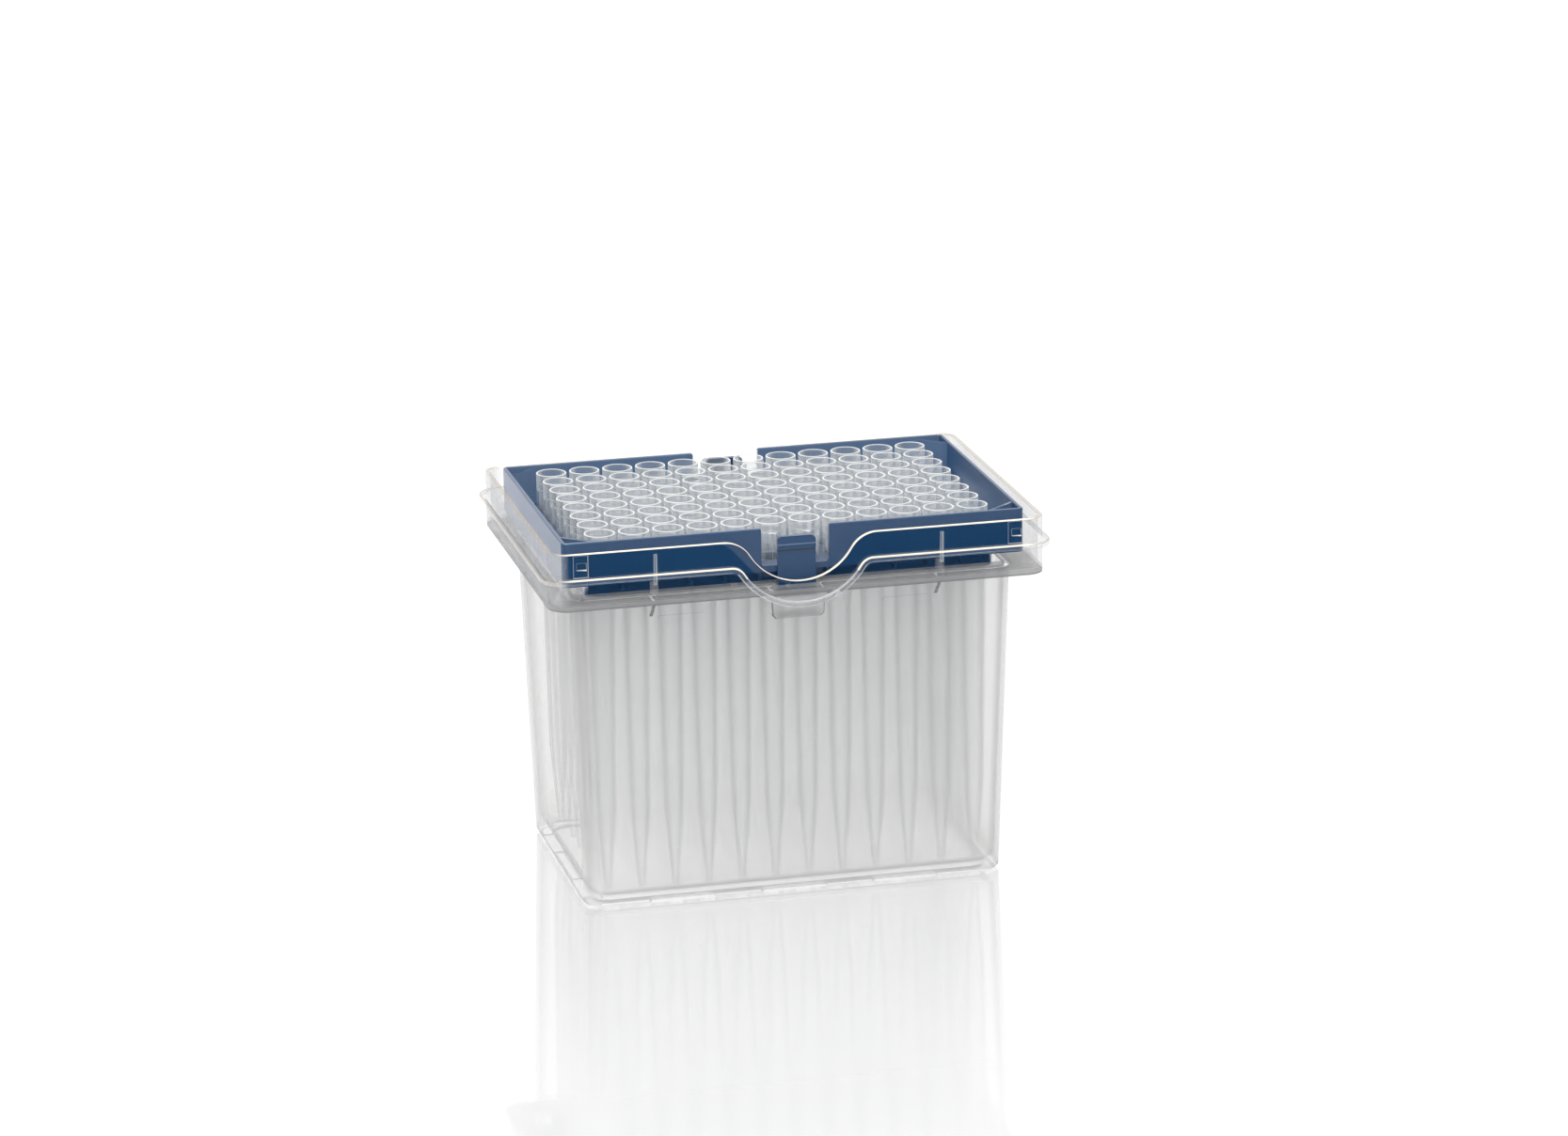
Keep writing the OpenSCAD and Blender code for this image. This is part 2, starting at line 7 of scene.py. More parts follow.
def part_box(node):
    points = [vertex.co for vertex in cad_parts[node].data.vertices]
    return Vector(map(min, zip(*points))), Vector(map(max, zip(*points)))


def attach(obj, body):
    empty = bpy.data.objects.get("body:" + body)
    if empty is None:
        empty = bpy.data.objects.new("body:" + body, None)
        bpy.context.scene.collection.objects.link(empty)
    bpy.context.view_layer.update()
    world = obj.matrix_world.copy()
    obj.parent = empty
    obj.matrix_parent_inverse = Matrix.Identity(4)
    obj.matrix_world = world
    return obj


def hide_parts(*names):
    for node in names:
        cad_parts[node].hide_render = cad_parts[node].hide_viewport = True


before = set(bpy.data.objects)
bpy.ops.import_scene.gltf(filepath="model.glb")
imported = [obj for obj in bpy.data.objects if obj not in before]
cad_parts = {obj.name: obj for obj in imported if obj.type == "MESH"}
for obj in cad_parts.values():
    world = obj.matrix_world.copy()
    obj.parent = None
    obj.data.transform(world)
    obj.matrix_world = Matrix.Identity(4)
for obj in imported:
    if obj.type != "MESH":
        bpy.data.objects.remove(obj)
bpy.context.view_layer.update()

MM = 0.001

# ---------- camera ----------

# A long lens a little to the left of the front and above it, turned a degree about its own axis.
CAMERA_PLACE = (-0.3133, -1.3444, 0.4704)
CAMERA_AZIMUTH = math.radians(-13.38)
CAMERA_ELEVATION = math.radians(15.86)
CAMERA_ROLL = math.radians(-0.90)
CAMERA_LENS = 124.46  # mm, on the sensor below
CAMERA_SENSOR = 36  # mm wide
CAMERA_REACH = 20  # m


def add_camera():
    azimuth, elevation = CAMERA_AZIMUTH, CAMERA_ELEVATION
    back = Vector((math.sin(azimuth) * math.cos(elevation),
                   -math.cos(azimuth) * math.cos(elevation), math.sin(elevation)))
    right = Vector((math.cos(azimuth), math.sin(azimuth), 0))
    up = back.cross(right)
    turn = Matrix((right, up, back)).transposed().to_4x4()
    bpy.ops.object.camera_add()
    camera = bpy.context.object
    camera.name = "camera"
    camera.data.lens = CAMERA_LENS
    camera.data.sensor_width = CAMERA_SENSOR
    camera.data.clip_end = CAMERA_REACH
    camera.matrix_world = (Matrix.Translation(CAMERA_PLACE) @ turn
                           @ Matrix.Rotation(CAMERA_ROLL, 4, "Z"))
    bpy.context.scene.camera = camera


# ---------- node helpers ----------

def linear(hex_colour):
    """An sRGB hex colour as linear red, green, blue and alpha."""
    parts = [int(hex_colour[i:i + 2], 16) / 255 for i in (1, 3, 5)]
    return [c / 12.92 if c <= 0.04045 else ((c + 0.055) / 1.055) ** 2.4 for c in parts] + [1]


def add_node(tree, kind, settings=None, links=None):
    """Adds a node, gives it its settings, and sets or links its sockets by name or number."""
    node = tree.nodes.new("ShaderNode" + kind)
    for name, value in (settings or {}).items():
        setattr(node, name, value)
    for name, value in (links or {}).items():
        if isinstance(value, bpy.types.NodeSocket):
            tree.links.new(value, node.inputs[name])
        else:
            node.inputs[name].default_value = value
    return node


def new_material(name):
    material = bpy.data.materials.new(name)
    material.use_nodes = True
    material.node_tree.nodes.clear()
    return material, material.node_tree


def show(tree, shader):
    """Makes a shader the one that the material shows."""
    add_node(tree, "OutputMaterial", None, {"Surface": shader})


def object_place(tree):
    """Place on the piece in millimetres, whole and split into its three parts."""
    place = add_node(tree, "TexCoord")
    in_mm = add_node(tree, "VectorMath", {"operation": "SCALE"}, {
        0: place.outputs["Object"], "Scale": 1 / MM})
    parts = add_node(tree, "SeparateXYZ", None, {0: in_mm.outputs[0]})
    return in_mm.outputs[0], parts.outputs


def way_faced(tree):
    """How squarely a face looks along x, y and z, from 0 to 1 each, either way."""
    geometry = add_node(tree, "NewGeometry")
    unsigned = add_node(tree, "VectorMath", {"operation": "ABSOLUTE"}, {
        0: geometry.outputs["Normal"]})
    return add_node(tree, "SeparateXYZ", None, {0: unsigned.outputs[0]}).outputs


def calculated(tree, operation, first, second=0.5):
    return add_node(tree, "Math", {"operation": operation}, {0: first, 1: second}).outputs[0]


def product(tree, first, second):
    return calculated(tree, "MULTIPLY", first, second)


def larger(tree, first, second):
    return calculated(tree, "MAXIMUM", first, second)


def ramp(tree, value, low, high, at_low=0, at_high=1):
    """Runs from at_low to at_high while value runs from low to high, and stays level beyond."""
    return add_node(tree, "MapRange", None, {
        "Value": value, "From Min": low, "From Max": high,
        "To Min": at_low, "To Max": at_high}).outputs[0]


def scaled(tree, share, low, high):
    """Takes a value that runs from 0 to 1 to a range of its own."""
    return ramp(tree, share, 0, 1, low, high)


def band(tree, value, low, high, soft=0.2):
    """1 where value lies between low and high, with soft ends."""
    return product(tree, ramp(tree, value, low - soft, low),
                   ramp(tree, value, high, high + soft, 1, 0))


def noise(tree, place, size, detail=2.0):
    """Cloudy variation from 0 to 1 with patches about size millimetres wide."""
    return add_node(tree, "TexNoise", None, {
        "Vector": place, "Scale": 1 / size, "Detail": detail}).outputs[0]


def blend_colour(tree, share, first, second):
    return add_node(tree, "Mix", {"data_type": "RGBA"}, {0: share, 6: first, 7: second}).outputs[2]


def blend_shader(tree, share, first, second):
    return add_node(tree, "MixShader", None, {0: share, 1: first, 2: second}).outputs[0]


# ---------- clear polypropylene ----------

PLASTIC_IOR = 1.49
WHITE = (1, 1, 1, 1)

# Where a face turns away this far from the eye, the wall is seen end on and shows as a line.
OUTLINE_FROM, OUTLINE_FULL = 0.86, 0.97
# The share of the cover that is left for shadows and bounced light, which thin plastic lets in.
COVER_FOR_LIGHT = 0.4
# How uneven the cover is, as shares of it.
UNEVEN = (0.75, 1.25)

# The moulded texture that blurs what stands behind a wall, on faces that look toward the eye.
FROST_ROUGHNESS = 0.3
FROST_IOR = 1.35
FROST_FULL, FROST_NONE = 0.35, 0.6
FROST_TINT = (0.99, 0.99, 0.99, 1)


def milky_skin(tree, milk, edge_milk, haze, edge_haze, power, cloud, extra=None, tint="#ffffff",
               line=0.7, painted_glow=0, frost=None, line_colour="#8b9097"):
    """See-through skin of natural polypropylene. It looks like a little milk in water: almost
    clear face on, thicker and greyer where a wall turns away, with a fine line round it.

    milk and haze are the colour and cover face on, edge_milk and edge_haze those at the edge, and
    power says how late the edge begins. extra is where the skin is as thick as at an edge.
    """
    turn = add_node(tree, "LayerWeight", None, {"Blend": 0.5}).outputs["Facing"]
    edge = calculated(tree, "POWER", turn, power)
    if extra is not None:
        edge = larger(tree, edge, extra)
    outline = ramp(tree, turn, OUTLINE_FROM, OUTLINE_FULL)
    cover = product(tree, scaled(tree, edge, haze, edge_haze), scaled(tree, cloud, *UNEVEN))
    cover = larger(tree, cover, scaled(tree, outline, 0, line))
    path = add_node(tree, "LightPath")
    light = larger(tree, path.outputs["Is Shadow Ray"], path.outputs["Is Diffuse Ray"])
    cover = product(tree, cover, scaled(tree, light, 1, COVER_FOR_LIGHT))
    colour = blend_colour(tree, edge, linear(milk), linear(edge_milk))
    colour = blend_colour(tree, outline, colour, linear(line_colour))
    tint = blend_colour(tree, light, linear(tint), WHITE)
    clear = add_node(tree, "BsdfTransparent", None, {"Color": tint}).outputs[0]
    if frost is not None:
        frosted = add_node(tree, "BsdfRefraction", None, {
            "Color": FROST_TINT, "Roughness": FROST_ROUGHNESS, "IOR": FROST_IOR})
        toward = ramp(tree, turn, FROST_FULL, FROST_NONE, 1, 0)
        frost = product(tree, product(tree, frost, toward), scaled(tree, light, 1, 0))
        clear = blend_shader(tree, frost, clear, frosted.outputs[0])
    # Emission makes the skin give off its own colour: painted light, though it is no lamp.
    solid = add_node(tree, "BsdfPrincipled", None, {
        "Base Color": colour, "Roughness": 0.1, "IOR": PLASTIC_IOR,
        "Emission Color": colour, "Emission Strength": painted_glow})
    through = add_node(tree, "BsdfTranslucent", None, {"Color": colour})
    skin = blend_shader(tree, 0.5, solid.outputs[0], through.outputs[0])
    return blend_shader(tree, cover, clear, skin)


# Heights on the case, in mm.
LEDGE_LOWER_EDGE = (84.0, 84.6)
LEDGE_SIDE = (84.6, 85.5)
COLLAR_START = (85.6, 86)
FROSTED_WALL = (2.4, 84)
FOOT_RING = (-1, 2.1)
LOW_WALL = (-1, 5)
LOW_WALL_FADE = 9


def clear_case():
    """The body is frosted, so the tips behind it show as soft bands. It is milkier at its corners,
    ledge and foot ring, where the plastic is thick, and greyer towards the bottom of the wall. The
    collar above the ledge is polished clear.
    """
    material, tree = new_material("moulded_clear_polypropylene_case")
    place, parts = object_place(tree)
    height = parts[2]
    faced = way_faced(tree)
    cloud = noise(tree, place, 14)
    corner = product(tree, product(tree, faced[0], faced[1]), 0.7)
    ledge = larger(tree, product(tree, band(tree, height, *LEDGE_SIDE), 0.5),
                   product(tree, band(tree, height, *LEDGE_LOWER_EDGE, 0.1), 0.95))
    # Greyer on the foot ring and, more faintly, towards the bottom of the wall.
    foot = larger(tree, product(tree, band(tree, height, *FOOT_RING), 0.45),
                  product(tree, band(tree, height, *LOW_WALL, LOW_WALL_FADE), 0.2))
    upright = calculated(tree, "LESS_THAN", faced[2], 0.5)
    foot = product(tree, foot, upright)
    thick = larger(tree, larger(tree, corner, foot), ledge)
    # The end walls are milkier than the front and rear, and corners are frosted less than flats.
    haze = scaled(tree, band(tree, faced[0], 0.9, 2, 0.1), 0.07, 0.18)
    frost = product(tree, ramp(tree, corner, 0, 0.35, 0.65, 0.2),
                    band(tree, height, *FROSTED_WALL))
    body = milky_skin(tree, "#efeeed", "#848586", haze, 0.8, 14.0, cloud, thick, "#fbfbfb",
                      frost=frost)
    collar = milky_skin(tree, "#f4f4f4", "#e2e1df", 0.003, 0.8, 4.5, cloud,
                        product(tree, corner, 0.7), "#fafafa")
    show(tree, blend_shader(tree, ramp(tree, height, *COLLAR_START), body, collar))
    return material


# Where the front and rear of the case end and its end walls begin, as |x| in mm.
CASE_END = (60, 64)


def edge_plastic(name, colour, cover, end_colour, end_cover):
    """Edges painted as lines of their own colour over the clear plastic. At the front and rear the
    rim and the flange's upper edge take a warm, bright painted highlight, and the others are grey
    or pale lines. Those at the front and rear take the first colour and cover, and those at the
    ends the second.
    """
    material, tree = new_material(name)
    place, parts = object_place(tree)
    end = ramp(tree, calculated(tree, "ABSOLUTE", parts[0]), *CASE_END)
    share = product(tree, scaled(tree, end, cover, end_cover),
                    scaled(tree, noise(tree, place, 5), 0.8, 1.2))
    colour = blend_colour(tree, end, linear(colour), linear(end_colour))
    shiny = add_node(tree, "BsdfPrincipled", None, {
        "Base Color": colour, "Roughness": 0.2, "IOR": PLASTIC_IOR})
    clear = add_node(tree, "BsdfTransparent", None, {"Color": WHITE})
    show(tree, blend_shader(tree, share, clear.outputs[0], shiny.outputs[0]))
    return material


# Heights on a tip that stands in the case, in mm.
BARREL_END, HEAD_START = 88, 92
MOUTH_STEP = (97.8, 98.1)
LIP = (100.2, 101)
# The rows and columns of tips nearest the walls, as |y| and |x| in mm.
OUTER_ROWS = (24, 30)
OUTER_COLUMNS = (42, 48)


def clear_tip():
    """The heads are bright, glossy rings that glow with painted light, with a white painted
    highlight on the lip, a fainter one at the mouth step, and a dark fine line round each. The
    barrels are faint, and only those next to a wall are milky enough to show through it.
    """
    material, tree = new_material("moulded_clear_polypropylene_tip")
    place, parts = object_place(tree)
    height = parts[2]
    cloud = noise(tree, place, 6)
    lip = larger(tree, band(tree, height, *LIP, 0.15),
                 product(tree, band(tree, height, *MOUTH_STEP, 0.15), 0.5))
    outer_row = ramp(tree, calculated(tree, "ABSOLUTE", parts[1]), *OUTER_ROWS)
    outer_column = ramp(tree, calculated(tree, "ABSOLUTE", parts[0]), *OUTER_COLUMNS)
    near_wall = larger(tree, outer_row, product(tree, outer_column, 0.6))
    barrel = milky_skin(tree, "#ebecec", "#adaeaf", scaled(tree, near_wall, 0.04, 0.08),
                        scaled(tree, near_wall, 0.10, 0.6), 1.1, cloud, line=0)
    # The heads glow with painted light.
    head = milky_skin(tree, "#eef3f7", "#e2e8ec", 0.06, 0.8, 2.4, cloud, line=0.95, painted_glow=0.62,
                      line_colour="#55657b")
    mirrored = add_node(tree, "Fresnel", None, {"IOR": PLASTIC_IOR}).outputs[0]
    shine = add_node(tree, "BsdfGlossy", None, {"Color": WHITE, "Roughness": 0.06}).outputs[0]
    head = blend_shader(tree, product(tree, mirrored, 0.7), head, shine)
    # A white painted highlight over the lip, and half as strong over the mouth step.
    white = add_node(tree, "BsdfPrincipled", None, {
        "Base Color": linear("#f6f7f3"), "Roughness": 0.15, "IOR": PLASTIC_IOR}).outputs[0]
    head = blend_shader(tree, product(tree, lip, 0.6), head, white)
    show(tree, blend_shader(tree, ramp(tree, height, BARREL_END, HEAD_START), barrel, head))
    return material


# ---------- blue polypropylene ----------

# The space inside the tray's wall, as |x|, |y| and height in mm.
TRAY_INSIDE = ((-1, 60.1), (-1, 39.4), (90.6, 100.3))
# The line of the collar's dip in front of the tray: from |x| to |x|, and its heights there, in mm.
DIP_WIDTH = (6.5, 20.5)
DIP_HEIGHT = (86.4, 97.6)
# The grip of the snap tab, as |x| and |y| in mm, and the heights of the painted shadow line under
# it and of the painted highlight line on it.
GRIP_WIDTH = (-1, 5.05)
GRIP_DEPTH = (41.4, 45)
GRIP_SHADOW_LINE = (94.45, 94.85)
GRIP_RIDGE_HIGHLIGHT = (96.15, 96.4)
# The top edge of the tray, where a painted highlight line runs, in mm.
TOP_EDGE_HIGHLIGHT = (100.45, 101)


def tray_plastic(name, dark, light, sheen_share):
    """Deep blue polypropylene with a fine grain. It is saturated behind the collar. A painted satin
    sheen, placed by position, greys it where the collar leaves it open to the light: inside the
    wall, above the dip and, as a painted highlight line, along the top edge. Inside the wall it
    glows with painted light, most on the faces that look along y, and the grip has a painted shadow
    line under it and a painted highlight line higher up.
    """
    material, tree = new_material("moulded_satin_polypropylene_" + name)
    place, parts = object_place(tree)
    height = parts[2]
    along = calculated(tree, "ABSOLUTE", parts[0])
    across = calculated(tree, "ABSOLUTE", parts[1])
    inside = product(tree, product(tree, band(tree, across, *TRAY_INSIDE[1]),
                                   band(tree, along, *TRAY_INSIDE[0])),
                     band(tree, height, *TRAY_INSIDE[2]))
    dip = add_node(tree, "MapRange", {"interpolation_type": "SMOOTHSTEP"}, {
        "Value": along, "From Min": DIP_WIDTH[0], "From Max": DIP_WIDTH[1],
        "To Min": DIP_HEIGHT[0], "To Max": DIP_HEIGHT[1]}).outputs[0]
    above_dip = calculated(tree, "SUBTRACT", height, dip)
    # Where the tray takes its painted sheen: inside the wall, and above the collar's dip.
    painted_sheen_area = larger(tree, inside, band(tree, above_dip, 0, 99, 0.5))
    # Inside the wall the tray glows with painted light, most on faces that look along y.
    lengthwise = band(tree, way_faced(tree)[1], 0.8, 2)
    painted_glow = product(tree, inside, scaled(tree, lengthwise, 0.02, 0.3))
    grip = product(tree, band(tree, across, *GRIP_DEPTH), band(tree, along, *GRIP_WIDTH))
    crease_shadow = product(tree, grip, band(tree, height, *GRIP_SHADOW_LINE, 0.1))
    ridge_highlight = product(tree, grip, band(tree, height, *GRIP_RIDGE_HIGHLIGHT, 0.1))
    colour = blend_colour(tree, noise(tree, place, 18), linear(dark), linear(light))
    # Painted shade and light on the grip: a dark shadow line under it and a light highlight line
    # higher up.
    colour = blend_colour(tree, product(tree, crease_shadow, 0.85), colour, linear("#101c2a"))
    colour = blend_colour(tree, product(tree, ridge_highlight, 0.3), colour, linear("#8fa0b8"))
    grain = add_node(tree, "Bump", None, {
        "Strength": 0.12, "Distance": 0.02 * MM, "Height": noise(tree, place, 0.5, 4.0)})
    satin = scaled(tree, noise(tree, place, 3), 0.36, 0.46)
    shader = add_node(tree, "BsdfPrincipled", None, {
        "Base Color": colour, "Roughness": satin, "IOR": 1.56,
        "Specular IOR Level": 0.08 * sheen_share, "Emission Color": linear("#8298b6"),
        "Emission Strength": product(tree, painted_glow, sheen_share), "Normal": grain.outputs[0]})
    turn = add_node(tree, "LayerWeight", None, {"Blend": 0.5}).outputs["Facing"]
    share = calculated(tree, "POWER", turn, 4.5)
    # The painted sheen, a little less on the grip, and a painted highlight line along the top edge.
    share = larger(tree, share, product(tree, painted_sheen_area, scaled(tree, grip, 0.042, 0.034)))
    share = larger(tree, share, product(tree, band(tree, height, *TOP_EDGE_HIGHLIGHT, 0.1), 0.2))
    share = product(tree, share, sheen_share)
    sheen = add_node(tree, "BsdfGlossy", None, {"Color": linear("#f4f7ff"), "Roughness": 0.3})
    show(tree, blend_shader(tree, share, shader.outputs[0], sheen.outputs[0]))
    return material


# ---------- modelling helpers ----------

# Faces that meet at less than this are shaded as one curve.
SMOOTH_SKIN = math.radians(30)
SMOOTH_TIP = math.radians(35)


def start(obj):
    """Makes obj the only selected and active object."""
    bpy.ops.object.select_all(action="DESELECT")
    obj.select_set(True)
    bpy.context.view_layer.objects.active = obj


def dress(obj, material):
    obj.data.materials.clear()
    obj.data.materials.append(material)


def merged_copy(node, name):
    """A copy of a CAD node's loose triangles, merged into one skin of flat faces."""
    piece = bpy.data.objects.new(name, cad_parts[node].data.copy())
    bpy.context.scene.collection.objects.link(piece)
    start(piece)
    bpy.ops.object.mode_set(mode="EDIT")
    bpy.ops.mesh.select_all(action="SELECT")
    bpy.ops.mesh.remove_doubles(threshold=1e-6)
    bpy.ops.mesh.dissolve_limited(angle_limit=math.radians(0.5))
    bpy.ops.object.mode_set(mode="OBJECT")
    return piece


def corners_of(piece, face):
    """The corners of a face, in mm."""
    return [piece.data.vertices[i].co / MM for i in face.vertices]


def within(corners, low, high):
    """Whether all corners lie in a box, given for one quarter from the middle as |x|, |y| and z."""
    return all(low[i] <= abs(c[i]) <= high[i] for c in corners for i in range(3))


def rounded_border(piece, wanted, width, material_index):
    """Rounds the edges round the wanted faces by width mm, and gives those new faces a material."""
    start(piece)
    bpy.ops.object.mode_set(mode="EDIT")
    bpy.ops.mesh.select_mode(type="FACE")
    bpy.ops.mesh.select_all(action="DESELECT")
    bpy.ops.object.mode_set(mode="OBJECT")
    for face in piece.data.polygons:
        face.select = wanted(face)
    bpy.ops.object.mode_set(mode="EDIT")
    bpy.ops.mesh.region_to_loop()
    bpy.ops.mesh.bevel(offset=width * MM, segments=3, affect="EDGES", clamp_overlap=True,
                       material=material_index)
    bpy.ops.object.mode_set(mode="OBJECT")


def finish_skin(piece):
    """Smooth curves beside flat faces that stay flat."""
    start(piece)
    bpy.ops.object.shade_smooth_by_angle(angle=SMOOTH_SKIN)
    bpy.ops.object.modifier_add(type="WEIGHTED_NORMAL")
    piece.modifiers[-1].keep_sharp = True
    bpy.ops.object.modifier_apply(modifier=piece.modifiers[-1].name)


# ---------- case ----------

# Kinds of edge: name, colour and cover at the front and rear, colour and cover at the ends. The rim
# is a warm, bright painted highlight, thick edges are grey lines, and the others are fainter.
EDGES = [
    ("rim", "#fff4e2", 0.9, "#9d8f7c", 0.5),
    ("thick", "#5f6061", 0.8, "#6f7071", 0.5),
    ("edge", "#eef1f4", 0.35, "#a9a7a3", 0.3),
    ("flange", "#c9d6e6", 0.09, "#d8d6d3", 0.35),
    ("faint", "#9a9b9c", 0.35, "#9a9b9c", 0.35),
    ("foot", "#b9b9b9", 0.7, "#b9b9b9", 0.7),
]
# Their places among the materials of the case, whose first is the skin.
RIM, THICK, EDGE, FLANGE, FAINT, FOOT = range(1, 7)

# Small features of the case whose borders show as lines: the box round the face in mm, the
# direction it looks in (0 along x, 1 along y, 2 up), the width of the rounding in mm and its kind.
BORDERS = [
    # upright ribs, front and rear
    ((37.2, 44.2, 88.0), (38.4, 44.4, 97.5), 1, 0.35, EDGE),
    # upright ribs, ends
    ((63.0, 19.6, 88.0), (63.2, 20.8, 97.5), 0, 0.35, EDGE),
    # latch pockets
    ((0, 42.7, 76.5), (7.4, 42.9, 84.4), 1, 0.35, THICK),
    # lid catches
    ((55.9, 46.1, 94.9), (58.7, 46.2, 96.9), 1, 0.35, EDGE),
    # pads of the lid catches
    ((55.2, 45.1, 92.5), (59.4, 45.3, 98.7), 1, 0.2, EDGE),
    # foot pads
    ((0, 0, -0.1), (60, 40, 0.1), 2, 0.35, FAINT),
    # floor
    ((0, 0, 2.1), (60, 40, 2.3), 2, 0.4, FOOT),
]
# Boxes round faces that take a kind of edge whole, in mm.
GUSSET = ((37.2, 36.5, 78.0), (38.4, 42.7, 84.1))
POCKET_FLOOR = ((0, 36.5, 76.6), (7.4, 43, 77.6))
LEDGE_PAD = ((23.3, 37.4, 77.0), (36.3, 38.2, 79.0))
FOOT_WALL = ((0, 0, 0.05), (60, 40, 2.25))

# The collar's rim, in mm.
RIM_HEIGHT = 99.2
COLLAR_INSIDE = 45.4
COLLAR_OUTSIDE = 46.6
NOTCH_LOW = 87.6
RIM_ROUNDING = 0.15
# The flange in mm: half length, half depth and corner radius, then its front, the highest point of
# its dip and its underside.
FLANGE_OUTLINE = (67.3, 48.5, 6.9)
FLANGE_FRONT = 47.5
FLANGE_DIP_TOP = 91.2
FLANGE_UNDERSIDE = 93.1
FLANGE_ROUNDING = 0.4


def outside_flange(corner):
    """How far a corner lies outside the flange's rounded outline, in mm."""
    half_x, half_y, radius = FLANGE_OUTLINE
    x = max(abs(corner.x) - half_x + radius, 0)
    y = max(abs(corner.y) - half_y + radius, 0)
    return math.hypot(x, y) - radius


def add_case():
    piece = merged_copy("base_box", "clear_case")
    dress(piece, clear_case())
    for name, *look in EDGES:
        piece.data.materials.append(edge_plastic("moulded_clear_polypropylene_" + name, *look))

    def rim_face(face):
        corners = corners_of(piece, face)
        flat = all(c.z > RIM_HEIGHT - 0.01 for c in corners)
        notch = abs(face.normal.y) < 0.02 and face.normal.z > 0.2 and all(
            COLLAR_INSIDE - 0.02 < abs(c.y) < COLLAR_OUTSIDE + 0.02 and c.z > NOTCH_LOW
            for c in corners)
        return flat or notch

    def flange_face(face):
        return all(abs(outside_flange(c)) < 0.03 for c in corners_of(piece, face))

    def kind_of(face):
        """The kind of edge that a face is, or the one that it has."""
        corners = corners_of(piece, face)
        rounded = face.material_index == RIM
        if rim_face(face):
            return RIM
        if rounded and all(abs(c.y) > FLANGE_FRONT and c.z < FLANGE_DIP_TOP for c in corners):
            return EDGE
        low = rounded and face.normal.z < 0.1 and corners[0].z < FLANGE_UNDERSIDE
        if low or flange_face(face):
            return FLANGE
        if within(corners, *GUSSET):
            return THICK
        if within(corners, *POCKET_FLOOR):
            return FAINT
        if within(corners, *LEDGE_PAD) and abs(face.normal.y) < 0.7:
            return FAINT
        if within(corners, *FOOT_WALL) and abs(face.normal.z) < 0.3:
            return FOOT
        return face.material_index

    # The rim and the flange's border take the rim's painted highlight.
    rounded_border(piece, rim_face, RIM_ROUNDING, RIM)
    rounded_border(piece, flange_face, FLANGE_ROUNDING, RIM)
    for low, high, axis, width, kind in BORDERS:

        def wanted(face):
            return abs(face.normal[axis]) > 0.9 and within(corners_of(piece, face), low, high)

        rounded_border(piece, wanted, width, kind)
    for face in piece.data.polygons:
        face.material_index = kind_of(face)
    finish_skin(piece)
    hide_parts("base_box")
    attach(piece, "case")


# ---------- tray ----------

TRAY_TOP = 100.5
# The front of the grip, and its underside above the painted shadow line, which is painted dark as
# shade too, as boxes in mm.
GRIP_FRONT = ((0, 41.9, 94.5), (5.1, 42.3, 98.5))
GRIP_UNDERSIDE = ((0, 41.3, 94.6), (5.1, 42.3, 95.5))
GRIP_ROUNDING = 0.3
TOP_ROUNDING = 0.2
# Places of the tray's two materials: its skin, and a dark one that paints shade.
SKIN, SHADE = 0, 1


def add_tray():
    piece = merged_copy("tip_tray", "blue_tray")
    dress(piece, tray_plastic("tray", "#04355b", "#083a61", 1))

    def grip(face):
        return abs(face.normal.y) > 0.9 and within(corners_of(piece, face), *GRIP_FRONT)

    def top(face):
        return all(c.z > TRAY_TOP - 0.01 for c in corners_of(piece, face))

    rounded_border(piece, grip, GRIP_ROUNDING, SKIN)
    rounded_border(piece, top, TOP_ROUNDING, SKIN)
    # The grip's underside takes a dark material: painted shade.
    piece.data.materials.append(tray_plastic("shade", "#0c1c2c", "#102436", 0))
    for face in piece.data.polygons:
        if face.normal.z < -0.2 and within(corners_of(piece, face), *GRIP_UNDERSIDE):
            face.material_index = SHADE
    finish_skin(piece)
    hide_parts("tip_tray")
    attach(piece, "tray")


# ---------- tips ----------

TIP_SIDES = 40
TIP_PITCH = 9
TIPS_IN_NODE = 4
HEAD_RADIUS = 4.08
# Radius and height over the orifice of each turn of the tip's skin, in mm: up the outside, over
# the rim and down the bore.
TIP_TURNS = [
    (0.75, 0.0), (2.44, 20.3), (3.33, 86.9), (3.45, 91.9), (3.6, 92.0), (3.95, 92.0),
    (4.05, 92.04), (HEAD_RADIUS, 92.15), (HEAD_RADIUS, 96.45), (4.04, 96.62), (3.92, 96.7),
    (3.76, 96.7), (3.66, 96.64), (3.62, 96.5), (3.62, 94.4), (3.40, 94.4), (3.40, 93.8),
    (2.78, 84.9), (1.89, 20.3), (0.4, 0.0),
]
# The support fins under the head: four bars through the barrel, in mm.
FIN_BARS = 4
FIN_SIZE = (8.04, 0.6, 5.2)
FIN_LOW = 86.9
# The part of the bore that the bars cross, in mm.
BORE_LOW, BORE_LENGTH = 84.9, 8.9
BORE_RADII = (2.79, 3.40)


